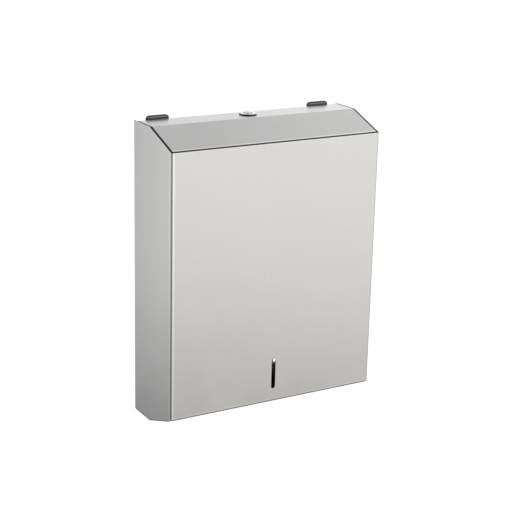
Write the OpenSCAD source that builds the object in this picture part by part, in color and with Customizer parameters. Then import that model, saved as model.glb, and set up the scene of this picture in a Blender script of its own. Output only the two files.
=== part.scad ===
// Wall dispenser for folded paper towels, in brushed stainless sheet.
// The wall is the plane y = 0 and the front faces -Y, with +Z up.
// The origin is the centre of the four screw holes, on the wall.
// A fixed frame (back plate, tray, guides) carries a cover that is hinged along
// its lower rear edge and drops forward. A cam lock in the flat top holds it shut.

/* [Overall size] */
// Width across the side panels
cover_w = 282; // [250:1:320]
// Depth from the wall to the face of the front panel
cover_d = 98; // [94:1:125]
// Height from the flat bottom to the flat top
cover_h = 365; // [320:1:420]
// Depth of the flat top and of the flat bottom, from the wall
flat_d = 42; // [40:1:60]
// Height of each sloped band
slope_h = 20; // [12:1:28]

/* [Sheet metal] */
// Thickness of the cover's sheet
skin = 0.8; // [0.6:0.1:1]
// Thickness of the back plate and of the brackets on it
plate = 1; // [1:0.1:1.4]
// Inside radius of an ordinary fold
fold_r = 1.2; // [0.8:0.1:1.8]
// How far the top panel lies below the sheet edges round it
reveal = 0.3; // [0.3:0.1:1]
// Gap between the cover's rear edges and the wall
wall_gap = 0.5; // [0.3:0.1:0.8]
// Gap inside a folded-over hem
hem_gap = 0.6; // [0.4:0.1:1]
// Radius of the front panel's lower corners
corner_r = 3.5; // [2.5:0.5:5]

/* [Cover] */
// Height of the flanges on the top panel and the base rail
flange_h = 12; // [9:1:14]
// Gap between the top panel's rear edge and the wall
rear_gap = 4.6; // [4.4:0.1:6]
// Width of the notches in the top panel's flanges
notch_w = 1.6; // [1.2:0.1:3]
// Depth of the folded lip under the front panel
lip_d = 16; // [10:1:22]
// Length of the sheet turned back inside the front lip
hem_d = 8; // [5:1:9]
// Width of the view slot
slot_w = 5.6; // [4:0.2:8]
// Height of the view slot
slot_h = 39; // [25:1:60]
// Height of the slot above the front panel's lower edge
slot_rise = 16.5; // [10:0.5:40]

/* [Back plate] */
// Room on each side between the back plate and the cover's side
side_room = 2; // [1.8:0.1:3]
// Depth of the back plate's stiffening flanges
back_flange = 12; // [8:1:16]
// Distance of the back plate's top edge below the flat top
back_drop = 16; // [15:1:20]
// Distance of the screw holes from the cover's side
hole_inset = 41; // [38:1:60]
// Distance of the screw holes from the cover's top and bottom
hole_drop = 52.5; // [48:0.5:70]
// Radius of the screw holes
hole_r = 2.75; // [2:0.25:3.5]
// Radius of the two locating holes low in the back plate
peg_r = 2.2; // [1.5:0.1:3]
// Distance of the locating holes from the middle
peg_x = 60; // [40:1:80]
// Height of the locating holes above the flat bottom
peg_rise = 29; // [28:0.5:34]
// Width of the pressed stiffening beads
bead_w = 10; // [6:1:14]
// Height of the pressed stiffening beads
bead_h = 1.2; // [0.8:0.1:1.6]
// Distance of the beads from the middle
bead_x = 60; // [40:1:70]
// Distance of the beads' ends from the cover's top and bottom
bead_inset = 75; // [70:1:100]

/* [Ears] */
// Width of each rubber ear cap
ear_w = 30; // [24:1:36]
// Height of the ear caps above the flat top
ear_h = 4; // [4:0.2:8]
// Distance from the cover's side to the ear's outer edge
ear_inset = 14.5; // [10:0.5:24]
// Step forward of the ear from the back plate
ear_step = 1.1; // [1.1:0.1:1.3]
// Wall thickness of the rubber cap
cap_wall = 1; // [0.8:0.1:1]
// Radius of the ear caps' upper corners
cap_round = 4.4; // [3:0.1:4.4]

/* [Towel tray and guides] */
// Depth of the tray from the wall
tray_d = 49; // [45:1:56]
// Height of the tray's rear flange
tray_flange = 16; // [12:1:20]
// Inside radius of the tray's curled front edge
curl_r = 2; // [1.5:0.1:2.2]
// Room between the tray's ends and the cover's sides
tray_room = 7; // [6:0.5:12]
// How far the base rail's front edge lies behind the tray's curl
rail_back = 8; // [6:0.5:12]
// Distance of the guides from the cover's sides
guide_inset = 10; // [9:1:16]
// Depth of the guides from the wall
guide_d = 66; // [40:1:76]
// Height of the guides
guide_h = 220; // [160:5:225]
// Width of the foot that fixes a guide to the back plate
guide_foot = 14; // [8:1:16]
// Flare of the guides' front edges
guide_flare = 4; // [2:1:5]

/* [Hinge] */
// Radius of the hinge pin
pin_r = 1.5; // [1.2:0.1:2]
// Radial clearance of the pin in its knuckles
pin_fit = 0.05; // [0.02:0.01:0.08]
// Thickness of the hinge leaves
leaf_t = 1; // [0.8:0.1:1.2]
// Distance from the moving leaf's edge to the base rail's hem
leaf_room = 6.45; // [2:0.05:10]
// Pitch of the knuckles
knuckle_len = 25; // [15:1:30]
// Gap between neighbouring knuckles
knuckle_gap = 0.4; // [0.3:0.1:1]
// Distance of the hinge's ends from the cover's sides
hinge_inset = 16; // [12:1:30]

/* [Lock] */
// Distance of the lock's axis from the wall
lock_inset = 22; // [20:0.5:22]
// Radius of the lock's round flange
lock_flange_r = 10.8; // [10:0.1:12]
// Height of the lock's round flange
lock_flange_h = 2; // [1.8:0.1:3]
// Radius of the lock's barrel
barrel_r = 8; // [7.5:0.5:9]
// Width across the barrel's two flats
barrel_flat = 14; // [13:0.5:15]
// Length of the barrel below the top panel's face
barrel_len = 16; // [14:0.5:18]
// Radius of the plug that the key turns
plug_r = 4.5; // [4:0.5:5.5]
// Height of the plug's nose above the flange
nose_h = 1; // [0.8:0.1:4]
// Radial running clearance of the plug
plug_fit = 0.05; // [0.02:0.01:0.08]
// Thickness of the cam
cam_t = 2; // [1.5:0.1:2.5]
// Width of the cam
cam_w = 11; // [9:0.5:12]
// Gap between the cam's tip and the back plate
cam_gap = 2.5; // [1.5:0.1:4]
// Side of the square shank that turns the cam
shank = 6; // [5:0.1:6.4]
// Thickness of the lock nut
nut_t = 4; // [3:0.5:5]
// Width across the flats of the lock nut
nut_af = 20; // [19:0.5:22]
// Radius of the cam screw
screw_r = 2; // [1.5:0.1:2.2]

/* [Keeper] */
// Room between the cam and the keeper's lip and shelf
keeper_room = 1.5; // [1:0.1:2]
// Width of the keeper
keeper_w = 16; // [12:1:20]
// Height of the flange that is riveted to the back plate
keeper_foot = 22; // [20:1:26]
// Radius of the rivets
rivet_r = 1.6; // [1.2:0.1:2]

/* [Hidden] */
$fn = 64;

steel = [0.78, 0.78, 0.77];
dull_steel = [0.62, 0.63, 0.64];
zinc = [0.7, 0.71, 0.74];
chrome = [0.86, 0.87, 0.89];
rubber = [0.3, 0.3, 0.31];

// Running clearance where two faces on different bodies pass each other
slip = 0.3;
// Clearance round a piece that is pushed into its seat
snug = 0.05;
// Cutters reach this far past what they cut
past = 1;
// Straight stretches of sheet run this far into the folds beside them
lap = 0.005;

z_top = cover_h / 2;
z_bot = -cover_h / 2;
slope_d = cover_d - flat_d;
slope_a = atan(slope_h / slope_d);

// The corners of the cover's side, as [y, z], from the top rear corner round the front
side_corners = [
    [-wall_gap, z_top],
    [-flat_d, z_top],
    [-cover_d, z_top - slope_h],
    [-cover_d, z_bot + slope_h],
    [-flat_d, z_bot],
    [-wall_gap, z_bot]
];

// Hinge: the pin lies as far from the wall as from the cover's lower edge, so the
// lower edge lies flat on the wall when the cover is down
bore_r = pin_r + pin_fit;
knuckle_r = bore_r + leaf_t;
hinge_y = -plate - knuckle_r;
hinge_z = z_bot + plate + knuckle_r;
hinge_clear = knuckle_r + slip + 0.2;
knuckle_pairs = floor((cover_w - 2 * hinge_inset) / knuckle_len / 2);
knuckle_count = 2 * knuckle_pairs;
hinge_len = knuckle_count * knuckle_len;

// The inner faces of the cover's sides
inner_x = cover_w / 2 - skin;
back_x = inner_x - side_room;
back_bot = hinge_z + knuckle_r + 1;
back_top = z_top - back_drop;

panel_z = z_top - reveal;
panel_under = panel_z - skin;

tray_z = hinge_z + knuckle_r + slip + 0.6 + plate / 2;
curl_mid = curl_r + plate / 2;
rail_d = tray_d - 2 * curl_mid - rail_back;
leaf_w = rail_d - hem_d + hinge_y - leaf_room;

lock_y = -lock_inset;
barrel_end = panel_z - barrel_len;
cam_top = barrel_end - slip;
cam_under = cam_top - cam_t;
cam_len = lock_inset - plate - cam_gap;
shelf_z = cam_under - keeper_room - plate / 2;
lip_y = lock_y - cam_w / 2 - keeper_room - plate / 2;
keeper_x = barrel_r + 3 + keeper_w / 2;
washer_t = 0.8;
head_r = plug_r + 1.2;
head_t = 1.2;
screw_head_r = screw_r + 1.9;
screw_head_h = 2.2;
screw_depth = 9;

ear_x = cover_w / 2 - ear_inset - ear_w / 2;
ear_mid_y = -plate / 2 - ear_step;
ear_top = z_top + ear_h;
tab_w = ear_w - 2 * cap_wall - 2 * snug;
cap_foot = z_top - 5;

guide_x = cover_w / 2 - guide_inset;
guide_bot = tray_z + tray_flange + 2;

// Plane geometry
function unit(v) = v / norm(v);
function turn(a, b, c) =
    let (u = b - a, v = c - b)
    atan2(u.x * v.y - u.y * v.x, u * v);
// Length of straight that the fold at corner i takes up on each side
function takeup(path, i, mid) =
    i == 0 || i == len(path) - 1 ? 0
    : mid * tan(abs(turn(path[i - 1], path[i], path[i + 1])) / 2);
// Height of the top slope's line, moved in by d, at depth y
function slope_z(y, d) = z_top - (-y - flat_d) * slope_h / slope_d - d / cos(slope_a);
// Corner between the flat and the slope, with both lines moved in by d
function bend_y(d) = -flat_d + d * (1 / cos(slope_a) - 1) * slope_d / slope_h;

// Extrudes a section drawn as [y, z] along X, about the middle
module along_x(length) {
    rotate([90, 0, 90]) linear_extrude(length, center = true) children();
}

// Extrudes a section drawn as [x, z] from y = 0 towards the front
module along_y(length) {
    rotate([90, 0, 0]) linear_extrude(length) children();
}

// Draws both copies of what is placed on the right
module both_sides() {
    children();
    mirror([1, 0, 0]) children();
}

// Part of a ring between two radii
module ring_part(r1, r2, from, sweep) {
    far = 2 * r2;
    intersection() {
        difference() {
            circle(r2);
            circle(r1);
        }
        polygon([
            [0, 0],
            far * [cos(from), sin(from)],
            far * [cos(from + sweep / 2), sin(from + sweep / 2)],
            far * [cos(from + sweep), sin(from + sweep)]
        ]);
    }
}

// Section of a folded sheet, drawn along the middle of its thickness
module folded(path, t, r = fold_r) {
    mid = r + t / 2;
    for (i = [0 : len(path) - 2]) {
        u = unit(path[i + 1] - path[i]);
        start = path[i] + u * takeup(path, i, mid);
        run = norm(path[i + 1] - path[i]) - takeup(path, i, mid) - takeup(path, i + 1, mid);
        if (run > lap)
            translate(start) rotate(atan2(u.y, u.x))
                translate([-lap, -t / 2]) square([run + 2 * lap, t]);
    }
    for (i = [1 : len(path) - 2]) {
        angle = turn(path[i - 1], path[i], path[i + 1]);
        u = unit(path[i] - path[i - 1]);
        start = path[i] - u * takeup(path, i, mid);
        centre = start + sign(angle) * mid * [-u.y, u.x];
        translate(centre)
            ring_part(r, r + t, atan2(u.y, u.x) - sign(angle) * 90, angle);
    }
}

// What a fillet of radius r takes off the corner b between the edges to a and c
module corner_cut(a, b, c, r) {
    u = unit(a - b);
    v = unit(c - b);
    half = acos(u * v) / 2;
    centre = b + unit(u + v) * r / sin(half);
    difference() {
        polygon([b + (b - centre) / 2, b + u * r / tan(half), centre, b + v * r / tan(half)]);
        translate(centre) circle(r);
    }
}

// Bar with round ends, standing on its middle
module round_bar(w, h) {
    square([w, h - w], center = true);
    for (s = [-1, 1]) translate([0, s * (h - w) / 2]) circle(w / 2);
}

// Upright tab with two rounded top corners, from z = 0 up
module tab_outline(w, h, r) {
    translate([-w / 2, 0]) square([w, h - r]);
    translate([-w / 2 + r, 0]) square([w - 2 * r, h]);
    for (s = [-1, 1]) translate([s * (w / 2 - r), h - r]) circle(r);
}

// Fixed frame

// Ear on the right: the plate steps forward and stands up behind the top panel
module ear() {
    reach = ear_top - cap_wall - snug;
    round_r = cap_round - cap_wall - snug;
    step_z = back_top + 4;
    intersection() {
        translate([ear_x, 0, 0]) along_x(tab_w + past) polygon([
            [0, back_top - 6],
            [0, step_z],
            [-ear_step, step_z + 2 * ear_step],
            [-ear_step, reach],
            [-ear_step - plate, reach],
            [-ear_step - plate, step_z + 2 * ear_step],
            [-plate, step_z],
            [-plate, back_top - 6]
        ]);
        translate([ear_x, past, back_top - 6 - past])
            along_y(cover_d) tab_outline(tab_w, reach - back_top + 6 + past, round_r);
    }
}

module back_plate() color(dull_steel) {
    difference() {
        union() {
            translate([0, 0, back_bot]) linear_extrude(back_top - back_bot) folded([
                [-back_x + plate / 2, -back_flange],
                [-back_x + plate / 2, -plate / 2],
                [back_x - plate / 2, -plate / 2],
                [back_x - plate / 2, -back_flange]
            ], plate);
            both_sides() ear();
            both_sides() translate([bead_x, -plate, 0])
                along_y(bead_h) round_bar(bead_w, cover_h - 2 * bead_inset);
        }
        both_sides() translate([bead_x, past, 0])
            along_y(past + bead_h)
                round_bar(bead_w - 2 * plate, cover_h - 2 * bead_inset - 2 * plate);
        for (sx = [-1, 1], sz = [-1, 1])
            translate([sx * (cover_w / 2 - hole_inset), past, sz * (z_top - hole_drop)])
                along_y(plate + 2 * past) circle(hole_r);
        both_sides() translate([peg_x, past, z_bot + peg_rise])
            along_y(plate + 2 * past) circle(peg_r);
        rivet_places() translate([0, past, 0]) along_y(plate + 2 * past) circle(rivet_r + snug);
    }
}

module towel_tray() color(steel) {
    leaf_face = -plate - leaf_t - plate / 2;
    along_x(cover_w - 2 * tray_room) folded([
        [leaf_face, tray_z + tray_flange],
        [leaf_face, tray_z],
        [-tray_d + plate / 2, tray_z],
        [-tray_d + plate / 2, tray_z - 2 * curl_mid],
        [-tray_d + plate / 2 + 2 * curl_mid + 1, tray_z - 2 * curl_mid]
    ], plate, curl_r);
}

// Guide on the right: foot on the back plate, wall forward, front edge flared out
module guide() {
    wall_x = guide_x + plate / 2;
    translate([0, 0, guide_bot]) linear_extrude(guide_h) folded([
        [wall_x - guide_foot, -1.5 * plate],
        [wall_x, -1.5 * plate],
        [wall_x, -guide_d + 2 * guide_flare],
        [wall_x + guide_flare, -guide_d]
    ], plate);
}

module right_guide() color(steel) guide();

module left_guide() color(steel) mirror([1, 0, 0]) guide();

// The keeper's two rivet positions, from the middle of its foot
module rivet_places() {
    for (s = [-1, 1])
        translate([keeper_x, 0, shelf_z - keeper_foot / 2 - 1 + s * (keeper_foot / 2 - 6)])
            children();
}

// Bracket whose lip stands in front of the cam once the key has turned it
module lock_keeper() color(dull_steel) {
    difference() {
        translate([keeper_x, 0, 0]) along_x(keeper_w) folded([
            [-1.5 * plate, shelf_z - keeper_foot],
            [-1.5 * plate, shelf_z],
            [lip_y, shelf_z],
            [lip_y, cam_top + keeper_room]
        ], plate);
        rivet_places() along_y(2 * plate + past) circle(rivet_r + snug);
    }
}

module keeper_rivets() color(zinc) {
    rivet_places() {
        along_y(2 * plate + 0.4) circle(rivet_r);
        translate([0, -2 * plate, 0]) along_y(1) circle(rivet_r * 1.9);
    }
}

// Rubber sleeve over an ear of the back plate
module ear_cap() {
    body_h = ear_top - cap_foot;
    front_y = ear_mid_y - plate / 2 - cap_wall;
    rear_y = ear_mid_y + plate / 2 + cap_wall - 0.2;
    difference() {
        translate([ear_x, rear_y, cap_foot])
            along_y(rear_y - front_y) tab_outline(ear_w, body_h, cap_round);
        translate([ear_x, ear_mid_y + plate / 2 + snug, cap_foot - past])
            along_y(plate + 2 * snug)
                tab_outline(tab_w + 2 * snug, body_h - cap_wall + past, cap_round - cap_wall);
    }
}

module right_ear_cap() color(rubber) ear_cap();

module left_ear_cap() color(rubber) mirror([1, 0, 0]) ear_cap();

// Hinge

// Places what belongs to every second knuckle, counted from the left
module knuckle_places(first) {
    for (i = [first : 2 : knuckle_count - 1])
        translate([(i + 0.5 - knuckle_count / 2) * knuckle_len, 0, 0]) children();
}

// Knuckle rolled from a leaf; the leaf's stub runs up from the pin
module knuckle_section() {
    difference() {
        union() {
            circle(knuckle_r);
            translate([bore_r, 0]) square([leaf_t, hinge_clear]);
        }
        circle(bore_r);
    }
}

module hinge_back_leaf() color(dull_steel) {
    translate([0, hinge_y, hinge_z]) {
        knuckle_places(0) along_x(knuckle_len - knuckle_gap) knuckle_section();
        along_x(hinge_len) translate([bore_r, hinge_clear])
            square([leaf_t, leaf_w - hinge_clear]);
    }
}

module hinge_cover_leaf() color(dull_steel) {
    translate([0, hinge_y, hinge_z]) {
        knuckle_places(1) along_x(knuckle_len - knuckle_gap)
            rotate(90) mirror([1, 0]) knuckle_section();
        along_x(hinge_len) translate([-leaf_w, -knuckle_r])
            square([leaf_w - hinge_clear, leaf_t]);
    }
}

module hinge_pin() color(zinc) {
    translate([0, hinge_y, hinge_z]) along_x(hinge_len) circle(pin_r);
}

// Cover

// Strip between the cover's sides that carries the moving leaf
module base_rail() color(steel) {
    rail_z = z_bot + plate - skin / 2;
    rear = hinge_y - hinge_clear;
    hem = hem_gap / 2 + skin;
    translate([0, rear, 0]) along_y(rail_d + rear - hem) folded([
        [-inner_x + skin / 2, rail_z + flange_h],
        [-inner_x + skin / 2, rail_z],
        [inner_x - skin / 2, rail_z],
        [inner_x - skin / 2, rail_z + flange_h]
    ], skin);
    along_x(2 * (inner_x - skin - fold_r)) folded([
        [-rail_d + 2 * hem, rail_z],
        [-rail_d + skin / 2, rail_z],
        [-rail_d + skin / 2, rail_z + hem_gap + skin],
        [-rail_d + hem_d, rail_z + hem_gap + skin]
    ], skin, hem_gap / 2);
}

// The side's outline, with the corner near the pin and the front's lower fold rounded
module side_outline() {
    last = len(side_corners) - 1;
    difference() {
        polygon(side_corners);
        corner_cut(side_corners[last - 1], side_corners[last], side_corners[0],
            plate + knuckle_r - wall_gap - slip);
        corner_cut(side_corners[2], side_corners[3], side_corners[4], fold_r + skin);
    }
}

// Front and sides folded from one sheet, with a hemmed lip under the front
module cover_shell() color(steel) {
    down = unit([slope_d, -slope_h]);
    in = [-down.y, down.x];
    front_y = -cover_d + skin / 2;
    lip_z = z_bot + slope_h + (skin / 2) * (1 / cos(slope_a) - slope_h / slope_d);
    corner = [front_y, lip_z];
    edge = corner + down * (lip_d - skin / 2);
    difference() {
        union() {
            intersection() {
                linear_extrude(cover_h + past, center = true) folded([
                    [-cover_w / 2 + skin / 2, 0],
                    [-cover_w / 2 + skin / 2, front_y],
                    [cover_w / 2 - skin / 2, front_y],
                    [cover_w / 2 - skin / 2, 0]
                ], skin);
                along_x(cover_w + past) side_outline();
            }
            along_x(2 * (inner_x - fold_r) - corner_r) {
                folded([[front_y, lip_z + 2 * (fold_r + skin)], corner, edge], skin);
                folded([
                    corner + down * (lip_d / 2),
                    edge,
                    edge + in * (hem_gap + skin),
                    edge + in * (hem_gap + skin) - down * hem_d
                ], skin, hem_gap / 2);
            }
        }
        translate([0, -cover_d + past + skin, z_bot + slope_h + slot_rise + slot_h / 2])
            along_y(3 * past + skin) round_bar(slot_w, slot_h);
        both_sides() translate([0, -cover_d + skin + fold_r, 0]) along_y(skin + fold_r + past)
            corner_cut([0, z_bot + slope_h], [cover_w / 2, z_bot + slope_h],
                [cover_w / 2, 0], corner_r);
    }
}

// What rounds both upper edges of a long block whose top face lies at z = 0
module side_fillets(half, r, rear, front) {
    translate([0, rear, 0]) along_y(rear - front)
        for (s = [-1, 1]) corner_cut([0, 0], [s * half, 0], [s * half, -cover_d], r);
}

// The space inside the sides, under the flat and the slope, with every face moved in by d
module top_space(d) {
    depth = reveal + d;
    half = inner_x - d;
    r = fold_r + skin - d;
    bend = [bend_y(depth), z_top - depth];
    front = [-cover_d + skin + d, slope_z(-cover_d + skin + d, depth)];
    rear = [-rear_gap - d, z_top - depth];
    floor_z = z_top - cover_d;
    difference() {
        along_x(2 * half) difference() {
            polygon([rear, bend, front, [front.x, floor_z], [rear.x, floor_z]]);
            corner_cut(bend, front, [front.x, floor_z], r);
            corner_cut(bend, rear, [rear.x, floor_z], r);
        }
        translate([0, 0, rear.y]) side_fillets(half, r, past, bend.x + notch_w / 4);
        translate([0, bend.x, bend.y]) rotate([slope_a, 0, 0])
            side_fillets(half, r, -notch_w / 4, -cover_d);
    }
}

// Flat top and top slope folded from one sheet that is welded in between the sides.
// Its flanges are notched at the corners and where the flat turns into the slope.
module top_panel() color(steel) {
    low = reveal + flange_h;
    far = -2 * cover_d;
    relief = fold_r + skin + snug;
    lip_top = z_top - slope_h - reveal - relief;
    front_y = -cover_d + skin;
    // The corners stay clear of the fold between the cover's front and its side
    clear = fold_r * (2 - sqrt(2)) + slip;
    difference() {
        top_space(0);
        top_space(skin);
        along_x(2 * cover_w) polygon([
            [past, z_top - low],
            [bend_y(low), z_top - low],
            [far, slope_z(far, low)],
            [far, z_top + far],
            [past, z_top + far]
        ]);
        translate([-cover_w, -rear_gap - relief, z_top + far])
            cube([2 * cover_w, 2 * relief, -far - low + flange_h / 2]);
        both_sides() {
            translate([inner_x - relief, -cover_d, z_top + far])
                cube([2 * relief, 2 * relief, lip_top - z_top - far]);
            translate([inner_x - relief, bend_y(reveal) - notch_w / 2, z_top + far])
                cube([2 * relief, notch_w, -2 * far]);
            translate([inner_x, front_y, z_top + far]) linear_extrude(-2 * far)
                polygon([[-clear - past, -past], [past, -past], [past, clear + past]]);
        }
        translate([0, lock_y, z_top - cover_d]) linear_extrude(2 * cover_d) barrel_section(snug);
    }
}

// Lock

// Round section with two flats, which keeps the barrel from turning in the sheet
module barrel_section(extra) {
    intersection() {
        circle(barrel_r + extra);
        square([barrel_flat + 2 * extra, 3 * barrel_r], center = true);
    }
}

module at_lock() {
    translate([0, lock_y, 0]) children();
}

module lock_body() color(chrome) at_lock() {
    difference() {
        union() {
            translate([0, 0, panel_z]) rotate_extrude() difference() {
                square([lock_flange_r, lock_flange_h]);
                corner_cut([0, lock_flange_h], [lock_flange_r, lock_flange_h],
                    [lock_flange_r, 0], lock_flange_h / 2);
            }
            translate([0, 0, barrel_end]) linear_extrude(barrel_len) barrel_section(0);
        }
        translate([0, 0, barrel_end - past])
            cylinder(barrel_len + lock_flange_h + 2 * past, r = plug_r + plug_fit);
        translate([0, 0, panel_z + lock_flange_h - head_t])
            cylinder(head_t + past, r = head_r + plug_fit);
    }
}

module lock_washer() color(zinc) at_lock() {
    translate([0, 0, panel_under - washer_t]) difference() {
        cylinder(washer_t, r = nut_af / 2);
        translate([0, 0, -past]) cylinder(washer_t + 2 * past, r = barrel_r + snug);
    }
}

module lock_nut() color(zinc) at_lock() {
    translate([0, 0, panel_under - washer_t - nut_t]) difference() {
        cylinder(nut_t, r = nut_af / 2 / cos(30), $fn = 6);
        translate([0, 0, -past]) cylinder(nut_t + 2 * past, r = barrel_r + snug);
    }
}

module lock_plug() color(chrome) at_lock() {
    top = panel_z + lock_flange_h + nose_h;
    body_h = top - cam_top;
    seat = panel_z + lock_flange_h - head_t - cam_top + plug_fit;
    key_w = 1.4;
    key_deep = 2;
    difference() {
        translate([0, 0, cam_top]) union() {
            rotate_extrude() difference() {
                square([plug_r, body_h]);
                corner_cut([0, body_h], [plug_r, body_h], [plug_r, 0], 0.8);
            }
            translate([0, 0, seat]) cylinder(head_t - plug_fit, r = head_r);
            translate([-shank / 2, -shank / 2, 0.2 - cam_t]) cube([shank, shank, cam_t]);
        }
        translate([-key_w / 2, -plug_r * 0.7, top - nose_h - key_deep])
            cube([key_w, 1.4 * plug_r, nose_h + key_deep + past]);
        translate([0, 0, cam_under - past]) cylinder(screw_depth + past + 1, r = screw_r + snug);
    }
}

module lock_cam() color(zinc) at_lock() {
    tip = cam_len;
    hole = shank + 2 * snug;
    translate([0, 0, cam_under]) linear_extrude(cam_t) difference() {
        union() {
            circle(cam_w / 2 + 1);
            difference() {
                translate([-cam_w / 2, 0]) square([cam_w, tip]);
                both_sides()
                    corner_cut([0, tip], [cam_w / 2, tip], [cam_w / 2, 0], cam_w / 4);
            }
        }
        square(hole, center = true);
    }
}

module cam_washer() color(zinc) at_lock() {
    translate([0, 0, cam_under - washer_t]) difference() {
        cylinder(washer_t, r = screw_head_r + 0.8);
        translate([0, 0, -past]) cylinder(washer_t + 2 * past, r = screw_r + snug);
    }
}

module cam_screw() color(zinc) at_lock() {
    head_z = cam_under - washer_t;
    recess = 0.9;
    difference() {
        union() {
            translate([0, 0, head_z]) cylinder(washer_t + screw_depth, r = screw_r);
            translate([0, 0, head_z - screw_head_h]) rotate_extrude() difference() {
                square([screw_head_r, screw_head_h]);
                corner_cut([0, 0], [screw_head_r, 0], [screw_head_r, screw_head_h], 1);
            }
        }
        for (a = [0, 90]) rotate(a)
            translate([-screw_r, -recess / 2, head_z - screw_head_h - past])
                cube([2 * screw_r, recess, 1.2 + past]);
    }
}

back_plate();
towel_tray();
left_guide();
right_guide();
lock_keeper();
keeper_rivets();
left_ear_cap();
right_ear_cap();
hinge_back_leaf();
hinge_pin();
hinge_cover_leaf();
base_rail();
cover_shell();
top_panel();
lock_body();
lock_washer();
lock_nut();
lock_plug();
lock_cam();
cam_washer();
cam_screw();
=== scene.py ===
# %% [markdown]
# # A paper towel dispenser in brushed stainless sheet
#
# The dispenser hangs on a wall: a fixed frame behind, and a folded sheet cover that
# drops forward on a hinge along its lower rear edge. All the metal comes ready made
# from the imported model. This lesson gives every piece its finish, adds the small marks
# that making leaves on sheet metal, and sets the camera and the light.

# %% Load the frame
import math

import bmesh
import bpy
from mathutils import Matrix, Vector


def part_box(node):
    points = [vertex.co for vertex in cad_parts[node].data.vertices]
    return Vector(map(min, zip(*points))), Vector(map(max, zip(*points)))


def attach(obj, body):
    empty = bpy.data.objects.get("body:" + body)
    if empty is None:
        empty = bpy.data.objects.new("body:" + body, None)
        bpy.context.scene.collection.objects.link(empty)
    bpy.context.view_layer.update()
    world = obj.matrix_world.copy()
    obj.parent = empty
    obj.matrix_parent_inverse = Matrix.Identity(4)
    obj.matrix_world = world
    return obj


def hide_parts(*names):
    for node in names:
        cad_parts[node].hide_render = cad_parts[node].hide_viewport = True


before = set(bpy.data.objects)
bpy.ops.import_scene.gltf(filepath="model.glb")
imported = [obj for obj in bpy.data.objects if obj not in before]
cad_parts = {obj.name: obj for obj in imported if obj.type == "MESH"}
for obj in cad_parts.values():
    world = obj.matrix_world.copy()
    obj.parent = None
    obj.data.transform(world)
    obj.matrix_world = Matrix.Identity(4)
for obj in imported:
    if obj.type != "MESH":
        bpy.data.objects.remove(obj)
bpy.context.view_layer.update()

# %% [markdown]
# ## The colours of the metals and the rubber
#
# Brushed stainless steel is a mirror made dull. A belt of grit leaves thousands of fine
# scratches side by side, and at arm's length the eye sees a soft satin grey. The metal's
# own colour is a light, slightly warm grey, and nearly all of what is seen on it comes
# from the room. The inner sheets keep the duller skin of the rolling mill, and their grey
# is also set lower as painted shade for the dark inside. The tray is darker still, and
# that dark is painted shade for the inside seen through the slot.

# %% Colours by name
STEEL = (0.735, 0.733, 0.727, 1)
# Frame grey: partly the mill skin, partly painted shade for the dark inside
MILL_SKIN_AND_SHADE_STEEL = (0.27, 0.27, 0.265, 1)
# Tray grey: painted shade for the dark inside seen through the slot
TRAY_SHADE_STEEL = (0.10, 0.10, 0.098, 1)
WELD_STEEL = (0.42, 0.40, 0.37, 1)
ZINC = (0.56, 0.57, 0.59, 1)
CHROME = (0.80, 0.81, 0.82, 1)
RUBBER = (0.05, 0.05, 0.052, 1)
# A paler copy of the rubber, which paints a sheen on the middle of each sleeve
PAINTED_SHEEN_RUBBER = (0.24, 0.24, 0.245, 1)
WHITE = (1, 1, 1, 1)
print("steel", STEEL[:3], "rubber", RUBBER[:3])

# %% [markdown]
# ## Small helpers for shader nodes
#
# Every finish here is a handful of nodes. A few helpers keep the recipes short: one
# starts a node group, one adds a noise, one spreads a noise over a range, and one does
# a sum. The sockets of a group are made through its interface, which is where Blender
# keeps them.


# %% Start a node group
def socket_kind(default):
    """Four numbers make a colour, three numbers or None a vector, one number a float."""
    if default is None:
        return "NodeSocketVector"
    if isinstance(default, tuple):
        return "NodeSocketColor" if len(default) == 4 else "NodeSocketVector"
    return "NodeSocketFloat"


def new_group(name, inputs, outputs):
    """A shader node group with pairs of label and default in, and labels out."""
    group = bpy.data.node_groups.new(name, "ShaderNodeTree")
    for label, default in inputs:
        socket = group.interface.new_socket(
            label, in_out="INPUT", socket_type=socket_kind(default))
        if default is not None:
            socket.default_value = default
    for label in outputs:
        kind = "NodeSocketColor" if label == "Color" else "NodeSocketFloat"
        group.interface.new_socket(label, in_out="OUTPUT", socket_type=kind)
    return group, group.nodes.new("NodeGroupInput"), group.nodes.new("NodeGroupOutput")


# %% Noise, and the range that it is spread over
NOISE_LOW, NOISE_HIGH = 0.3, 0.7


def noise(nodes, scale, detail, roughness=0.5):
    """A noise texture with these settings."""
    node = nodes.new("ShaderNodeTexNoise")
    node.inputs["Scale"].default_value = scale
    node.inputs["Detail"].default_value = detail
    node.inputs["Roughness"].default_value = roughness
    return node


def spread(nodes, low, high):
    """A node that takes the range where noise mostly lies to low..high."""
    node = nodes.new("ShaderNodeMapRange")
    node.clamp = False
    node.inputs["From Min"].default_value = NOISE_LOW
    node.inputs["From Max"].default_value = NOISE_HIGH
    node.inputs["To Min"].default_value = low
    node.inputs["To Max"].default_value = high
    return node


# %% Feed a socket, and do a sum
def feed(tree, value, socket):
    """Gives a socket a plain number, or links another socket to it."""
    if isinstance(value, (int, float)):
        socket.default_value = value
    else:
        tree.links.new(value, socket)


def join(tree, operation, *values):
    """The result of a Math node; the values are sockets or plain numbers."""
    node = tree.nodes.new("ShaderNodeMath")
    node.operation = operation
    for value, socket in zip(values, node.inputs):
        feed(tree, value, socket)
    return node.outputs["Value"]


def scaled(tree, colour, factor):
    """A colour times a factor, both from sockets."""
    node = tree.nodes.new("ShaderNodeVectorMath")
    node.operation = "SCALE"
    tree.links.new(colour, node.inputs["Vector"])
    tree.links.new(factor, node.inputs["Scale"])
    return node.outputs["Vector"]


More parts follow.
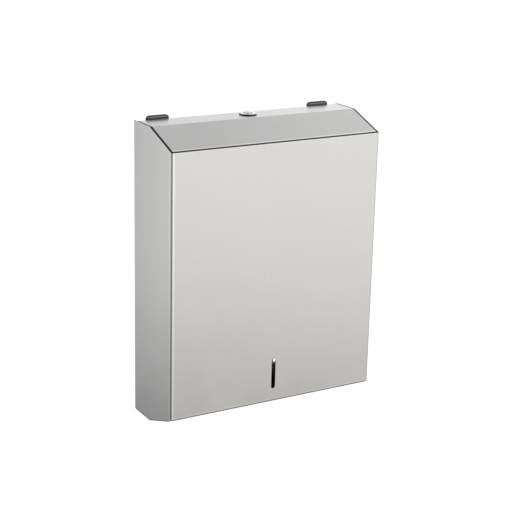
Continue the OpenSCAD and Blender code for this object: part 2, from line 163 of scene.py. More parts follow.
# %% [markdown]
# ## Brushed grain as one shared group
#
# The scratches are noise that is stretched a long way in one direction. A Mapping node
# outside the group squeezes the pattern across the grain and stretches it along it, and
# each sheet gives its own direction. A second, slower noise stands for the soft cloudy
# patches that polishing and handling leave. The group puts out a colour, a roughness
# and a height, so that every metal piece is brushed in the same way but with its own
# strength. An image of scratches would show its repeats, and this never does.

# %% The brushed grain group
FINE_DETAIL, FINE_ROUGHNESS = 3.0, 0.6
CLOUD_SCALE, CLOUD_DETAIL = 13.0, 2.0


def brushed_group():
    """Streaks along one direction, with slow clouds over them."""
    group, start, end = new_group(
        "brushed grain",
        [("Vector", None), ("Place", None), ("Tint", (0.6, 0.6, 0.6, 1)),
         ("Base Roughness", 0.3), ("Streak", 0.05), ("Cloud", 0.05)],
        ["Color", "Roughness", "Height"],
    )
    nodes, link = group.nodes, group.links.new
    fine = noise(nodes, 1.0, FINE_DETAIL, FINE_ROUGHNESS)
    cloud = noise(nodes, CLOUD_SCALE, CLOUD_DETAIL)
    link(start.outputs["Vector"], fine.inputs["Vector"])
    link(start.outputs["Place"], cloud.inputs["Vector"])
    streak = spread(nodes, -1.0, 1.0)
    patch = spread(nodes, -1.0, 1.0)
    link(fine.outputs["Fac"], streak.inputs["Value"])
    link(cloud.outputs["Fac"], patch.inputs["Value"])
    streaks = join(group, "MULTIPLY", streak.outputs["Result"], start.outputs["Streak"])
    patches = join(group, "MULTIPLY", patch.outputs["Result"], start.outputs["Cloud"])
    change = join(group, "ADD", streaks, patches)
    rough = join(group, "ADD", start.outputs["Base Roughness"], change)
    tone = join(group, "ADD", change, 1.0)
    link(scaled(group, start.outputs["Tint"], tone), end.inputs["Color"])
    link(rough, end.inputs["Roughness"])
    link(streak.outputs["Result"], end.inputs["Height"])
    return group


BRUSHED = brushed_group()
print("group", BRUSHED.name, "is ready")

# %% [markdown]
# ## A band that changes the tone past a line
#
# Sheet metal isn't one even grey, and here light and shade are painted into it along
# lines: painted shade in the narrow gap between the top sheet and the sides and on a cut
# edge, and a painted highlight on the bend beside a fold. Each of these follows a
# straight line, so one group does them all. It measures how far a point lies along a
# direction and scales the tone from a start to an end. The distance is read in Object
# coordinates, on the metal itself, so a band stays in its seam when the cover drops.
# Painting such lines by hand would take an image, and a mask found from the shape would
# mark every edge alike.


# %% The band group
def band_group():
    """Scales a colour by Tone where the place along Slant lies past End."""
    group, start, end = new_group(
        "band",
        [("Place", None), ("Color", (0.6, 0.6, 0.6, 1)), ("Slant", (0.0, 0.0, 0.0)),
         ("Start", 0.0), ("End", 1.0), ("Tone", 1.0)],
        ["Color"],
    )
    nodes, link = group.nodes, group.links.new
    along = nodes.new("ShaderNodeVectorMath")
    along.operation = "DOT_PRODUCT"
    link(start.outputs["Place"], along.inputs[0])
    link(start.outputs["Slant"], along.inputs[1])
    ease = nodes.new("ShaderNodeMapRange")
    ease.interpolation_type = "SMOOTHSTEP"
    link(along.outputs["Value"], ease.inputs["Value"])
    link(start.outputs["Start"], ease.inputs["From Min"])
    link(start.outputs["End"], ease.inputs["From Max"])
    ease.inputs["To Min"].default_value = 1.0
    link(start.outputs["Tone"], ease.inputs["To Max"])
    link(scaled(group, start.outputs["Color"], ease.outputs["Result"]), end.inputs["Color"])
    return group


BAND = band_group()
print("group", BAND.name, "is ready")

# %% [markdown]
# ## Metals made from the two groups
#
# A metal is a Principled shader that is fully metallic. Its colour comes from the
# brushed grain and then goes through the bands, one after the other. The grain of a
# sheet follows its fold pattern, so each metal says which way its scratches run. Object
# coordinates keep the pattern fixed to the metal when the cover turns on its hinge.

# %% Grain direction and metals
ACROSS, ALONG = 900.0, 9.0
GRAIN_DEPTH, PLAIN_BUMP = 0.0002, 0.02


def grain_scale(direction):
    """Scale of the mapping: slow along the grain, quick across it."""
    return tuple(ALONG if axis == direction else ACROSS for axis in "XYZ")


def banded(tree, place, colour, band):
    """Sends a colour through one band, given as slant, start, end and tone."""
    node = tree.nodes.new("ShaderNodeGroup")
    node.node_tree = BAND
    for label, value in zip(("Slant", "Start", "End", "Tone"), band):
        node.inputs[label].default_value = value
    tree.links.new(place, node.inputs["Place"])
    tree.links.new(colour, node.inputs["Color"])
    return node.outputs["Color"]


def metal(name, tint, direction, roughness, streak, cloud, bump=PLAIN_BUMP, bands=()):
    """A metal whose grain runs along X, Y or Z. Bands change its tone along lines."""
    made = bpy.data.materials.new(name)
    made.use_nodes = True
    tree = made.node_tree
    nodes, link = tree.nodes, tree.links.new
    shader = nodes["Principled BSDF"]
    shader.inputs["Metallic"].default_value = 1.0
    where = nodes.new("ShaderNodeTexCoord").outputs["Object"]
    squeeze = nodes.new("ShaderNodeMapping")
    squeeze.inputs["Scale"].default_value = grain_scale(direction)
    link(where, squeeze.inputs["Vector"])
    grain = nodes.new("ShaderNodeGroup")
    grain.node_tree = BRUSHED
    grain.inputs["Tint"].default_value = tint
    grain.inputs["Base Roughness"].default_value = roughness
    grain.inputs["Streak"].default_value = streak
    grain.inputs["Cloud"].default_value = cloud
    link(squeeze.outputs["Vector"], grain.inputs["Vector"])
    link(where, grain.inputs["Place"])
    dent = nodes.new("ShaderNodeBump")
    dent.inputs["Strength"].default_value = bump
    dent.inputs["Distance"].default_value = GRAIN_DEPTH
    link(grain.outputs["Height"], dent.inputs["Height"])
    colour = grain.outputs["Color"]
    for band in bands:
        colour = banded(tree, where, colour, band)
    link(colour, shader.inputs["Base Color"])
    link(grain.outputs["Roughness"], shader.inputs["Roughness"])
    link(dent.outputs["Normal"], shader.inputs["Normal"])
    return made


# %% [markdown]
# ## The cover's lines
#
# The cover's sides are cut to a flat top, a slope, an upright front, a second slope
# below and a flat foot. The bands follow these lines, so their places are worked out
# from the cover's own box and the rise and run of its slopes. A strip is a band that is
# given by how many millimetres it begins and is full before an edge.

# %% Sizes of the cover
shell_low, shell_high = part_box("cover_shell")
HALF_WIDTH = shell_high[0]
DEPTH = -shell_low[1]
TOP = shell_high[2]
SKIN = 0.0008
SLOPE_RISE, SLOPE_RUN = 0.020, 0.056
print("cover half width, depth, top:", [round(v, 4) for v in (HALF_WIDTH, DEPTH, TOP)])

# %% Directions, and how far the cover reaches along each
UP, DOWN, FORWARD, LEFT, RIGHT = (0, 0, 1), (0, 0, -1), (0, -1, 0), (-1, 0, 0), (1, 0, 0)
DIAGONAL = math.sqrt(0.5)
LEFT_FOLD, RIGHT_FOLD = (-DIAGONAL, -DIAGONAL, 0), (DIAGONAL, -DIAGONAL, 0)
FOLD_AT = (HALF_WIDTH + DEPTH) * DIAGONAL
upper_slope = Vector((0, -SLOPE_RISE, SLOPE_RUN)).normalized()
lower_slope = Vector((0, upper_slope.y, -upper_slope.z))
SLOPE_AT = upper_slope.dot((0, -DEPTH, TOP - SLOPE_RISE))
lip_fold = (Vector(FORWARD) + lower_slope).normalized()
LIP_FOLD_AT = lip_fold.dot((0, -DEPTH, SLOPE_RISE - TOP))
print("slope at", round(SLOPE_AT, 4), "fold at", round(FOLD_AT, 4))


# %% Strips in millimetres
def strip(direction, edge, begins, full, tone):
    """A band that begins and is full so many millimetres before an edge."""
    return tuple(direction), edge - begins / 1000, edge - full / 1000, tone


def leaning(direction, edge, lean, reach):
    """The same edge, but leaning, so that the band fades away from the reach of the lean."""
    return Vector(direction) + Vector(lean), edge + Vector(lean).length * reach


# %% [markdown]
# ## The finish of the cover sheet
#
# The upright fold between the front and each side is painted dark, a painted reflection
# of the dark of the room in its curve, and the left one has a painted highlight strip
# beside it. The upper edges have a painted highlight strip that ends in painted shade at
# the seam, and their cut thickness is painted nearly black as shade. The fold above the
# lip gets a painted highlight and then painted shade, and the lower edges of the sides
# are painted dark as shade too. Last, the sides lose a little tone towards the wall, as
# painted shade.
#
# The narrow faces of a cut edge reach as far up as the sheet's own rim does, so a band
# along the plain direction can't tell its outer from its inner side. A direction that
# leans a little sideways can.

# %% Bands of the cover sheet
# The highlight strips paint light into the colour; the fold, lip, lower-edge, seam, cut and
# wall-side tones paint shade
PAINTED_HIGHLIGHT, FOLD_PAINTED_HIGHLIGHT = 1.17, 1.28
FOLD_PAINTED_SHADE, LIP_PAINTED_SHADE, LOWER_PAINTED_SHADE = 0.45, 0.5, 0.3
EDGE_PAINTED_SHADE, CUT_PAINTED_SHADE = 0.40, 0.12
LEAN, LOWER_LEAN = 0.05, 0.5
WALL_SIDE_PAINTED_SHADE, WALL_FADE_FROM = 0.88, 0.09

cut_edges = [
    leaning(upper_slope, SLOPE_AT, (-LEAN, 0, 0), HALF_WIDTH - SKIN),
    leaning(upper_slope, SLOPE_AT, (0, -LEAN, 0), DEPTH - SKIN),
    leaning(UP, TOP, (-LEAN, 0, 0), HALF_WIDTH - SKIN),
]
lower_edges = [
    leaning(direction, edge, (side * LOWER_LEAN, 0, 0), HALF_WIDTH)
    for side in (-1, 1) for direction, edge in ((lower_slope, SLOPE_AT), (DOWN, TOP))
]
# Each strip paints a highlight or a shade into the cover's colour
cover_bands = [
    strip(LEFT_FOLD, FOLD_AT, 3.3, 2.8, FOLD_PAINTED_HIGHLIGHT),
    strip(LEFT_FOLD, FOLD_AT, 1.5, 1.3, FOLD_PAINTED_SHADE),
    strip(RIGHT_FOLD, FOLD_AT, 1.3, 1.1, FOLD_PAINTED_SHADE),
    strip(upper_slope, SLOPE_AT, 1.5, 1.0, PAINTED_HIGHLIGHT),
    strip(upper_slope, SLOPE_AT, 0.45, 0.35, EDGE_PAINTED_SHADE),
    strip(UP, TOP, 1.1, 0.7, PAINTED_HIGHLIGHT),
    *(strip(direction, edge, 0.2, 0.1, CUT_PAINTED_SHADE) for direction, edge in cut_edges),
    strip(lip_fold, LIP_FOLD_AT, 2.0, 1.7, PAINTED_HIGHLIGHT),
    strip(lip_fold, LIP_FOLD_AT, 1.1, 0.9, LIP_PAINTED_SHADE),
    *(strip(direction, edge, 1.1, 0.9, LOWER_PAINTED_SHADE) for direction, edge in lower_edges),
    (FORWARD, WALL_FADE_FROM, 0.0, WALL_SIDE_PAINTED_SHADE),
]
print("bands on the cover sheet:", len(cover_bands))

# %% [markdown]
# ## The finish of the top sheet
#
# The top sheet lies between the sides with a hair of room. Its bends down into the gap
# are painted dark as shade, most of all at the front and on the left, where it is looked
# into. The slope gets a painted highlight just above the front seam. Across its width
# the sheet is a little darker on the left.

# %% Bands of the top sheet
# The seam tones paint shade into the gaps, and the slope tone paints a highlight
SEAM_PAINTED_SHADE, RIGHT_SEAM_PAINTED_SHADE = 0.06, 0.25
SLOPE_PAINTED_HIGHLIGHT = 1.36
LEFT_SIDE_TONE, LEFT_FADE = 0.90, 0.14
top_bands = [
    strip(FORWARD, DEPTH, 5.5, 5.1, SLOPE_PAINTED_HIGHLIGHT),
    strip(FORWARD, DEPTH, 3.3, 2.9, SEAM_PAINTED_SHADE),
    strip(LEFT, HALF_WIDTH, 3.6, 3.0, SEAM_PAINTED_SHADE),
    strip(RIGHT, HALF_WIDTH, 2.0, 1.4, RIGHT_SEAM_PAINTED_SHADE),
    (LEFT, -LEFT_FADE, LEFT_FADE, LEFT_SIDE_TONE),
]
print("bands on the top sheet:", len(top_bands))

# %% [markdown]
# ## The finish of the lock
#
# The lock is chromed, and chrome on a small round thing shows mostly its edges. The wall
# of the flange, between the sheet and the rounded shoulder, is painted dark as shade. The
# first band darkens all that lies below the shoulder, and the second gives the tone back
# below the sheet. The two flanks of the plug's nose are painted dark as shade too, and
# its crown keeps the plain chrome. Its bands are measured across the plug, from the
# lock's axis.

# %% Bands of the lock
REVEAL = 0.0003
# The rim and nose tones paint shade on the chrome
RIM_PAINTED_SHADE, RIM_PAINTED_SHADE_TOP = 0.05, 0.0017
RIM_FADE, SHEET_FADE, NOSE_FADE = 0.0004, 0.0002, 0.0004
NOSE_PAINTED_SHADE, NOSE_SHOULDER = 0.25, 0.0034
NOSE_ACROSS = Vector((0.866, -0.5, 0))
sheet_top = TOP - REVEAL
rim_top = sheet_top + RIM_PAINTED_SHADE_TOP
lock_low, lock_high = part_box("lock_body")
lock_axis = Vector((0, (lock_low[1] + lock_high[1]) / 2, 0))
rim_bands = [
    (UP, rim_top, rim_top - RIM_FADE, RIM_PAINTED_SHADE),
    (UP, sheet_top, sheet_top - SHEET_FADE, 1 / RIM_PAINTED_SHADE),
]
nose_bands = []
for side in (-1, 1):
    across = side * NOSE_ACROSS
    shoulder = across.dot(lock_axis) + NOSE_SHOULDER
    nose_bands.append((tuple(across), shoulder, shoulder + NOSE_FADE, NOSE_PAINTED_SHADE))
print("lock axis at y", round(lock_axis.y, 4))

# %% All the metals
# In this order: name, colour, grain, roughness, streaks, clouds, bump and bands
cover_steel = metal("cover steel", STEEL, "Z", 0.30, 0.005, 0.032, 0.004, cover_bands)
top_steel = metal("top steel", STEEL, "X", 0.30, 0.005, 0.032, 0.004, top_bands)
plain_steel = metal("plain steel", STEEL, "X", 0.36, 0.02, 0.03)
# The frame steel's dull grey is partly painted shade, and the tray steel's dark grey is all
# painted shade
frame_steel = metal("frame steel", MILL_SKIN_AND_SHADE_STEEL, "Z", 0.42, 0.05, 0.05)
tray_shade_steel = metal("tray steel", TRAY_SHADE_STEEL, "X", 0.42, 0.05, 0.05)
weld_steel = metal("weld steel", WELD_STEEL, "X", 0.45, 0.02, 0.06)
zinc_plate = metal("zinc plate", ZINC, "Z", 0.36, 0.02, 0.06)
rim_chrome = metal("rim chrome", CHROME, "Z", 0.12, 0.01, 0.02, bands=rim_bands)
lock_chrome = metal("lock chrome", CHROME, "Z", 0.12, 0.01, 0.02, bands=nose_bands)
metals = (cover_steel, top_steel, plain_steel, frame_steel, tray_shade_steel, weld_steel,
          zinc_plate, rim_chrome, lock_chrome)
print("metals:", [made.name for made in metals])

# %% [markdown]
# ## Rubber for the two ear sleeves
#
# The dark tabs at the rear top edge are moulded rubber sleeves. Moulded rubber is
# matt, with a fine pebble from the mould and a faint pale bloom. A fine noise drives
# a small bump, and a slower one the bloom and a little change of roughness. The same
# recipe with a paler colour paints a sheen on the middle of each sleeve, as light
# falling there against the dark rim.

# %% Rubber
PEBBLE_SCALE, BLOOM_SCALE, RUBBER_DETAIL = 2400.0, 220.0, 2.0
PEBBLE_BUMP, PEBBLE_DEPTH = 0.12, 0.0002
BLOOM_GAIN = 1.35
MATT_LOW, MATT_HIGH = 0.50, 0.68


def rubber_material(name, colour):
    """Matt moulded rubber with a fine pebble."""
    made = bpy.data.materials.new(name)
    made.use_nodes = True
    nodes, link = made.node_tree.nodes, made.node_tree.links.new
    shader = nodes["Principled BSDF"]
    where = nodes.new("ShaderNodeTexCoord")
    pebble = noise(nodes, PEBBLE_SCALE, RUBBER_DETAIL)
    bloom = noise(nodes, BLOOM_SCALE, RUBBER_DETAIL)
    dull = spread(nodes, MATT_LOW, MATT_HIGH)
    mix = nodes.new("ShaderNodeMix")
    mix.data_type = "RGBA"
    mix.inputs["A"].default_value = colour
    mix.inputs["B"].default_value = tuple(BLOOM_GAIN * c for c in colour[:3]) + (1,)
    dent = nodes.new("ShaderNodeBump")
    dent.inputs["Strength"].default_value = PEBBLE_BUMP
    dent.inputs["Distance"].default_value = PEBBLE_DEPTH
    link(where.outputs["Object"], pebble.inputs["Vector"])
    link(where.outputs["Object"], bloom.inputs["Vector"])
    link(bloom.outputs["Fac"], mix.inputs["Factor"])
    link(bloom.outputs["Fac"], dull.inputs["Value"])
    link(mix.outputs["Result"], shader.inputs["Base Color"])
    link(dull.outputs["Result"], shader.inputs["Roughness"])
    link(pebble.outputs["Fac"], dent.inputs["Height"])
    link(dent.outputs["Normal"], shader.inputs["Normal"])
    return made


ear_rubber = rubber_material("ear rubber", RUBBER)
# The paler copy paints a sheen on the middle of each sleeve
painted_sheen_rubber = rubber_material("painted sheen rubber", PAINTED_SHEEN_RUBBER)
print("rubbers:", ear_rubber.name, "and", painted_sheen_rubber.name)

# %% [markdown]
# ## The finishes go on the CAD pieces
#
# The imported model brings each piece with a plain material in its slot. The finish takes
# its place there, and the shape isn't touched.

# %% Put the finishes on
FINISHES = (
    (cover_steel, ["cover_shell"]),
    (top_steel, ["top_panel"]),
    (plain_steel, ["base_rail", "left_guide", "right_guide"]),
    (frame_steel, ["back_plate", "lock_keeper", "hinge_back_leaf", "hinge_cover_leaf"]),
    (tray_shade_steel, ["towel_tray"]),
    (zinc_plate, ["keeper_rivets", "hinge_pin", "lock_washer", "lock_nut", "lock_cam",
                  "cam_washer", "cam_screw"]),
    (rim_chrome, ["lock_body"]),
    (lock_chrome, ["lock_plug"]),
    (ear_rubber, ["left_ear_cap", "right_ear_cap"]),
)
for finish, names in FINISHES:
    for name in names:
        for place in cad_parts[name].material_slots:
            place.material = finish
print("finished", sum(len(names) for _, names in FINISHES), "of", len(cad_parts), "pieces")

# %% [markdown]
# ## A rubber sleeve on each ear
#
# The sleeve is moulded, so none of its edges is sharp. It starts as a plain block of the
# CAD piece's size. Its two upper corners get a wide bevel, and then every edge of the
# front and the back a small one. The underside is pushed up into a pocket, because the
# steel ear stands inside it. The middle of the front face is set in and gets the paler
# rubber, a painted sheen against the darker rim. The soft block then takes the place of
# the CAD piece.


# %% Helpers for new pieces
def new_piece(name, bm, finishes, body):
    """Turns a bmesh into a piece that rides on a body."""
    bmesh.ops.recalc_face_normals(bm, faces=bm.faces)
    mesh = bpy.data.meshes.new(name)
    bm.to_mesh(mesh)
    bm.free()
    piece = bpy.data.objects.new(name, mesh)
    bpy.context.scene.collection.objects.link(piece)
    for finish in finishes:
        mesh.materials.append(finish)
    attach(piece, body)
    return piece


def round_edges(bm, edges, width, steps):
    """Rounds these edges."""
    bmesh.ops.bevel(bm, geom=edges, offset=width, segments=steps, profile=0.5,
                    affect="EDGES", material=-1)


def block(bm, low, high):
    """Adds a block between two corners."""
    low, high = Vector(low), Vector(high)
    stretch = Matrix.Diagonal((*(high - low), 1))
    bmesh.ops.create_cube(bm, size=1, matrix=Matrix.Translation((low + high) / 2) @ stretch)


def outermost(bm, axis, digits=5):
    """The largest of the faces that lie lowest along an axis."""
    return min(bm.faces, key=lambda f: (round(f.calc_center_median()[axis], digits),
                                        -f.calc_area()))


# %% The rounded block of a sleeve
SLEEVE_CORNER, CORNER_STEPS = 0.0044, 8
SLEEVE_EDGE, EDGE_STEPS = 0.0006, 4
SLEEVE_WALL = 0.001
CREASE = 1.0
CLEARLY, NOTHING = 0.001, 0.000001
Y, Z = 1, 2


def depth_of(edge):
    """How far an edge goes from the front to the back."""
    return abs((edge.verts[0].co - edge.verts[1].co).y)


def rounded_sleeve(low, high):
    """A block with two wide upper corners and softly rounded edges."""
    bm = bmesh.new()
    block(bm, low, high)
    deep = [e for e in bm.edges if depth_of(e) > CLEARLY]
    upper = [e for e in deep if e.verts[0].co.z > low[Z] + CLEARLY]
    round_edges(bm, upper, SLEEVE_CORNER, CORNER_STEPS)
    flat = [e for e in bm.edges if depth_of(e) < NOTHING]
    outline = [e for e in flat if e.is_manifold and e.calc_face_angle() > CREASE]
    round_edges(bm, outline, SLEEVE_EDGE, EDGE_STEPS)
    return bm


# %% The pocket below and the face with painted sheen in front
SHEEN_INSET, SHEEN_FOOT = 0.0011, 0.0012


def sink_pocket(bm, depth):
    """Pushes the underside up, with a thin wall left round it."""
    foot = min(bm.faces, key=lambda f: f.calc_center_median().z)
    bmesh.ops.inset_region(bm, faces=[foot], thickness=SLEEVE_WALL - SLEEVE_EDGE)
    deep = bmesh.ops.extrude_discrete_faces(bm, faces=[outermost(bm, Z)])["faces"][0]
    bmesh.ops.translate(bm, verts=deep.verts, vec=(0, 0, depth))


def set_in_sheen_face(bm):
    """Sets the front face in and marks it for the second finish."""
    face = outermost(bm, Y)
    bmesh.ops.inset_region(bm, faces=[face], thickness=SHEEN_INSET)
    for vert in face.verts:
        vert.co.z = max(vert.co.z, TOP + SHEEN_FOOT)
    # The second finish is the paler rubber, a painted sheen on the set-in middle
    face.material_index = 1


# %% The two sleeves
def ear_sleeve(side):
    """Rounded rubber sleeve in place of one CAD ear cap."""
    low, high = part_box(side + "_ear_cap")
    bm = rounded_sleeve(low, high)
    sink_pocket(bm, high[Z] - low[Z] - 2 * SLEEVE_WALL)
    set_in_sheen_face(bm)
    sleeve = new_piece(side + "_ear_sleeve", bm, [ear_rubber, painted_sheen_rubber],
                       "frame")
    for face in sleeve.data.polygons:
        face.use_smooth = True
    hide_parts(side + "_ear_cap")
    return sleeve


for side in ("left", "right"):
    made = ear_sleeve(side)
    print(made.name, len(made.data.polygons), "faces")

# %% [markdown]
# ## Spot-weld marks
#
# The brackets inside are spot-welded: two copper tips squeeze the sheets and a current
# melts a nugget between them. Each tip leaves a shallow round dish with a low rim. Here
# a mark is a very flat cone, whose upper face is set in and pressed down a little. A bump
# in the material would do from afar, but the marks also show in the exported meshes.
# They lie on the pieces that carry them and are seen when the cover is down.

# %% A set of marks
MARK_R, MARK_SIDES = 0.0024, 20
MARK_RISE, MARK_SUNK = 0.00014, 0.00003
# Parts of the radius, and of the rise for the depth
CROWN, DISH_RIM, DISH_DEPTH = 0.8, 0.3, 0.6


def weld_mark(bm, place, facing):
    """One flat round mark on a face that looks along facing."""
    turn = Vector(UP).rotation_difference(facing).to_matrix().to_4x4()
    centre = Vector(place) + facing * (MARK_RISE / 2 - MARK_SUNK)
    made = bmesh.ops.create_cone(bm, cap_ends=True, segments=MARK_SIDES, radius1=MARK_R,
                                 radius2=CROWN * MARK_R, depth=MARK_RISE,
                                 matrix=Matrix.Translation(centre) @ turn)
    corners = set(made["verts"])
    caps = [f for f in bm.faces if len(f.verts) == MARK_SIDES and set(f.verts) <= corners]
    top = max(caps, key=lambda f: f.calc_center_median().dot(facing))
    bmesh.ops.inset_region(bm, faces=[top], thickness=DISH_RIM * MARK_R,
                           depth=-DISH_DEPTH * MARK_RISE)


def weld_marks(name, body, facing, places):
    """A piece with marks at these places."""
    bm = bmesh.new()
    for place in places:
        weld_mark(bm, place, Vector(facing))
    print(name, len(places))
    return new_piece(name, bm, [weld_steel], body)


def spaced(start, end, count):
    """Evenly spaced numbers from start to end."""
    return [start + (end - start) * i / (count - 1) for i in range(count)]


# %% [markdown]
# ## Where the welds are
#
# Each guide is welded to the back plate down its foot, and the tray along its rear
# flange. On the cover, the hinge leaf is welded to the base rail, and the base rail and
# the top sheet to the inside of the two sides. All places are measured from the boxes
# of the pieces that meet there.

# %% Welds on the frame
FRAME_SKIN = 0.001
FOOT_MIDDLE, FOOT_END = 0.006, 0.012
FLANGE_MIDDLE, FLANGE_REACH = 0.006, 0.115
guide_low, guide_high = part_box("right_guide")
tray_low, tray_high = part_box("towel_tray")
foot_x = guide_low[0] + FOOT_MIDDLE
foot_heights = spaced(guide_low[Z] + FOOT_END, guide_high[Z] - FOOT_END, 5)
places = [(side * foot_x, -2 * FRAME_SKIN, z) for side in (-1, 1) for z in foot_heights]
flange_z = tray_high[Z] - FLANGE_MIDDLE
places += [(x, tray_high[Y] - FRAME_SKIN, flange_z)
           for x in spaced(-FLANGE_REACH, FLANGE_REACH, 6)]
weld_marks("frame_weld_marks", "frame", FORWARD, places)

# %% Welds on the hinge leaf
LEAF_SKIN = 0.001
LEAF_MIDDLE, LEAF_REACH = 0.005, 0.110
leaf_low, leaf_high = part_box("hinge_cover_leaf")
places = [(x, leaf_low[Y] + LEAF_MIDDLE, leaf_low[Z] + LEAF_SKIN)
          for x in spaced(-LEAF_REACH, LEAF_REACH, 7)]
weld_marks("leaf_weld_marks", "cover", UP, places)

# %% Welds on the cover's sides
RAIL_DROP, RAIL_FRONT, RAIL_REAR = 0.005, 0.006, 0.004
PANEL_DROP, PANEL_REAR, PANEL_FRONT = 0.008, -0.012, -0.038
rail_low, rail_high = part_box("base_rail")
panel_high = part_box("top_panel")[1]
rail_depths = spaced(rail_low[Y] + RAIL_FRONT, rail_high[Y] - RAIL_REAR, 3)
panel_depths = spaced(PANEL_REAR, PANEL_FRONT, 3)
for side, name in ((-1, "left"), (1, "right")):
    rail_x, panel_x = side * (rail_high[0] - SKIN), side * (panel_high[0] - SKIN)
    places = [(rail_x, y, rail_high[Z] - RAIL_DROP) for y in rail_depths]
    places += [(panel_x, y, panel_high[Z] - PANEL_DROP) for y in panel_depths]
    weld_marks(name + "_side_weld_marks", "cover", (-side, 0, 0), places)

# %% [markdown]
# ## A floor that stays white
#
# The picture is a plain studio shot on white. The floor is a large pale sheet well below
# the dispenser, as under a thing that hangs at hand height. It keeps a faint shadow from
# the lamps, and it glows only for the camera and for rays that come through glass or off
# a mirror, so that it looks white without more light on the dispenser. The metal gets
# its own floor from the world below, because a glowing floor would be mirrored too
# brightly in the front sheet.

# %% The floor
FLOOR_Z, FLOOR_SIZE = -1.4, 60.0
FLOOR_PAINT, FLOOR_ROUGHNESS = (0.82, 0.82, 0.82, 1), 0.9
FLOOR_LIFT = 0.66


def camera_or_mirror_ray(tree):
    """1 for camera rays and for rays that a mirror or glass sends on, 0 for the rest."""
    path = tree.nodes.new("ShaderNodeLightPath").outputs
    either = join(tree, "MAXIMUM", path["Is Camera Ray"], path["Is Glossy Ray"])
    return join(tree, "MAXIMUM", either, path["Is Transmission Ray"])


def floor_material():
    """Pale paint with a glow on top."""
    made = bpy.data.materials.new("floor paint")
    made.use_nodes = True
    tree = made.node_tree
    paint = tree.nodes["Principled BSDF"]
    paint.inputs["Base Color"].default_value = FLOOR_PAINT
    paint.inputs["Roughness"].default_value = FLOOR_ROUGHNESS
    glow = tree.nodes.new("ShaderNodeEmission")
    both = tree.nodes.new("ShaderNodeAddShader")
    lift = join(tree, "MULTIPLY", camera_or_mirror_ray(tree), FLOOR_LIFT)
    tree.links.new(lift, glow.inputs["Strength"])
    tree.links.new(paint.outputs["BSDF"], both.inputs[0])
    tree.links.new(glow.outputs["Emission"], both.inputs[1])
    tree.links.new(both.outputs["Shader"], tree.nodes["Material Output"].inputs["Surface"])
    return made


bm = bmesh.new()
bmesh.ops.create_grid(bm, x_segments=1, y_segments=1, size=FLOOR_SIZE,
                      matrix=Matrix.Translation((0, 0, FLOOR_Z)))
floor_mesh = bpy.data.meshes.new("floor")
bm.to_mesh(floor_mesh)
bm.free()
floor_mesh.materials.append(floor_material())
floor = bpy.data.objects.new("floor", floor_mesh)
bpy.context.scene.collection.objects.link(floor)
floor.visible_glossy = False
print("floor at", FLOOR_Z)

# %% [markdown]
# ## The room that the metal mirrors
#
# A sheet of brushed steel shows a blurred picture of the room, so the room decides how
# it looks. The front looks down into the room: its upper half mirrors a bright wall, and
# its lower half a darker skirting, which is why the front gets darker towards its foot.
# A ramp over the height of a ray gives these levels. Four soft dark cards then change
# it with the compass direction, as black cards do in a studio: they give the sides
# another tone than the front and keep the folds dark. A picture of a studio would do
# the same, but its levels couldn't be set one by one.

# %% Levels of the room
# Grey of the room by the sine of the height: floor, skirting, wall, ceiling. The two
# ends come first, because a new ramp already has them.
SKY_STEPS = ((-1.0, 0.42), (1.0, 0.52), (-0.55, 0.30), (-0.43, 0.24), (-0.36, 0.70),
             (-0.31, 1.28), (-0.24, 1.13), (-0.1, 1.02), (0.32, 1.22), (0.72, 0.74))
# Cards: direction, cosine where it is full, cosine where it ends, and its level
SKY_CARDS = (((-0.42, 0.90, 0), 0.90, 0.45, 0.68), ((-0.68, -0.73, 0), 0.88, 0.62, 0.50),
             ((0.34, 0.94, 0), 0.97, 0.80, 0.94), ((1, 0, 0), 0.95, 0.76, 0.80))
# The room in front of the dispenser is a little warmer than the rest
WARM_SIDE = ((0.49, -0.82, 0), 0.95, 0.30)
WARM = (1.0, 0.985, 0.955, 1)
ROOM_LIGHT = 0.45


def level_by_height(tree, height, steps):
    """A ramp of grey over the sine of the height above the horizon."""
    ramp = tree.nodes.new("ShaderNodeValToRGB")
    tree.links.new(join(tree, "MULTIPLY_ADD", height, 0.5, 0.5), ramp.inputs["Fac"])
    points = ramp.color_ramp.elements
    for number, (sine, grey) in enumerate(steps):
        where = (sine + 1) / 2
        point = points[number] if number < 2 else points.new(where)
        point.position = where
        point.color = (grey, grey, grey, 1)
    return ramp.outputs["Color"]


# %% A soft card on one side of the room
def vector_step(tree, operation, vector, other=None):
    """A VectorMath node on a vector socket and, if given, a fixed vector."""
    node = tree.nodes.new("ShaderNodeVectorMath")
    node.operation = operation
    tree.links.new(vector, node.inputs[0])
    if other is not None:
        node.inputs[1].default_value = other
    return node.outputs


def towards(tree, vector, aim, near, far, low):
    """1 away from the horizontal direction aim, down to low close to it."""
    level = vector_step(tree, "MULTIPLY", vector, (1, 1, 0))["Vector"]
    flat = vector_step(tree, "NORMALIZE", level)["Vector"]
    cosine = vector_step(tree, "DOT_PRODUCT", flat, Vector(aim).normalized())["Value"]
    soft = tree.nodes.new("ShaderNodeMapRange")
    soft.interpolation_type = "SMOOTHSTEP"
    soft.inputs["From Min"].default_value = far
    soft.inputs["From Max"].default_value = near
    soft.inputs["To Min"].default_value = 1.0
    soft.inputs["To Max"].default_value = low
    tree.links.new(cosine, soft.inputs["Value"])
    return soft.outputs["Result"]


def choose(tree, flag, no, yes):
    """Between two levels, by a flag that is 0 or 1."""
    mix = tree.nodes.new("ShaderNodeMix")
    mix.data_type = "FLOAT"
    for label, value in (("Factor", flag), ("A", no), ("B", yes)):
        feed(tree, value, mix.inputs[label])
    return mix.outputs["Result"]


# %% [markdown]
# ## One world with three answers
#
# The world asks each ray where it comes from. A ray off the metal gets the ramp and the
# cards. A camera ray, or one through glass, gets plain white. All other rays, which
# light the dispenser softly from everywhere, get one even level. The warmth is mixed in
# for rays off the metal only, so that the white stays white.

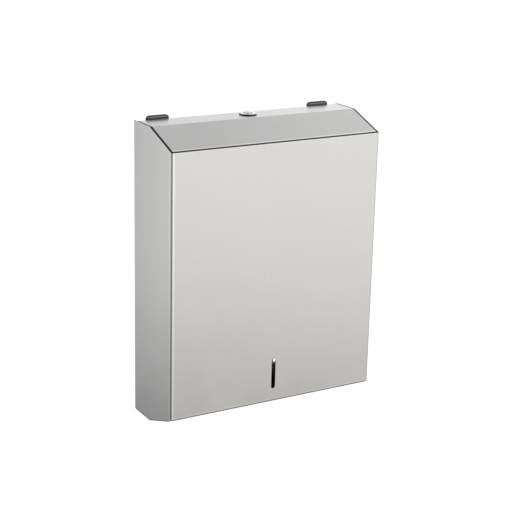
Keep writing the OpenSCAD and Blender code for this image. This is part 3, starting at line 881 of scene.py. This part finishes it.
# %% The world
world = bpy.data.worlds.new("studio")
world.use_nodes = True
bpy.context.scene.world = world
tree = world.node_tree
room = tree.nodes["Background"]
heading = tree.nodes.new("ShaderNodeTexCoord").outputs["Generated"]
apart = tree.nodes.new("ShaderNodeSeparateXYZ")
tree.links.new(heading, apart.inputs["Vector"])
path = tree.nodes.new("ShaderNodeLightPath").outputs

mirrored = level_by_height(tree, apart.outputs["Z"], SKY_STEPS)
for card in SKY_CARDS:
    mirrored = join(tree, "MULTIPLY", mirrored, towards(tree, heading, *card))
level = choose(tree, path["Is Glossy Ray"], ROOM_LIGHT, mirrored)
plain_white = join(tree, "MAXIMUM", path["Is Camera Ray"], path["Is Transmission Ray"])
tree.links.new(choose(tree, plain_white, level, 1.0), room.inputs["Strength"])

warmth = tree.nodes.new("ShaderNodeMix")
warmth.data_type = "RGBA"
warmth.inputs["A"].default_value = WARM
warmth.inputs["B"].default_value = WHITE
not_mirrored = join(tree, "SUBTRACT", 1.0, path["Is Glossy Ray"])
away = towards(tree, heading, *WARM_SIDE, 0.0)
tree.links.new(join(tree, "MAXIMUM", away, not_mirrored), warmth.inputs["Factor"])
tree.links.new(warmth.outputs["Result"], room.inputs["Color"])
print("world", world.name, "with", len(SKY_CARDS), "cards")

# %% [markdown]
# ## Two soft lamps
#
# Large square lamps shine on the rubber, the floor and the inside. A key lamp stands
# high in front on the right and a weaker one fills from the left. The metal doesn't
# mirror them: their hard squares would show as bright patches on the sheets, and the
# world already says what the metal sees.

# %% Lamps
LAMP_SIZE = 1.6
LAMPS = (("key", (1.2, -2.2, 1.6), 30), ("fill", (-2.2, -1.4, 1.0), 12))


def soft_lamp(name, place, watts):
    """A large square lamp that shines from place towards the origin."""
    data = bpy.data.lights.new(name, "AREA")
    data.shape = "SQUARE"
    data.size = LAMP_SIZE
    data.energy = watts
    lamp = bpy.data.objects.new(name, data)
    bpy.context.scene.collection.objects.link(lamp)
    lamp.location = place
    lamp.rotation_euler = (-Vector(place)).to_track_quat("-Z", "Y").to_euler()
    lamp.visible_glossy = False
    return lamp


for name, place, watts in LAMPS:
    print("lamp", soft_lamp(name, place, watts).name, watts, "W")

# %% [markdown]
# ## The camera
#
# The camera stands to the left of the dispenser and a little above it. Its place, its
# turn and its focal length were found by matching the corners of the cover with the
# corners in the photograph. The turn is given as the directions to the right and up in
# the picture, and the third one is square to both.

# %% Camera
FOCAL_PIXELS = 1362.5
IMAGE_PIXELS = 512
SENSOR = 36.0
CLIP_START, CLIP_END = 0.01, 100
CAMERA_AT = (-0.80940, -1.42933, 0.49640)
to_right = Vector((0.865766, -0.499956, 0.022201))
to_up = Vector((0.126871, 0.262181, 0.956643))
turned = Matrix((to_right, to_up, to_right.cross(to_up))).transposed().to_4x4()

camera_data = bpy.data.cameras.new("camera")
camera_data.sensor_width = SENSOR
camera_data.lens = SENSOR * FOCAL_PIXELS / IMAGE_PIXELS
camera_data.clip_start = CLIP_START
camera_data.clip_end = CLIP_END
camera = bpy.data.objects.new("camera", camera_data)
bpy.context.scene.collection.objects.link(camera)
camera.matrix_world = Matrix.Translation(CAMERA_AT) @ turned
bpy.context.scene.camera = camera
bpy.context.scene.view_settings.view_transform = "Standard"
print("lens", round(camera_data.lens, 2), "mm")
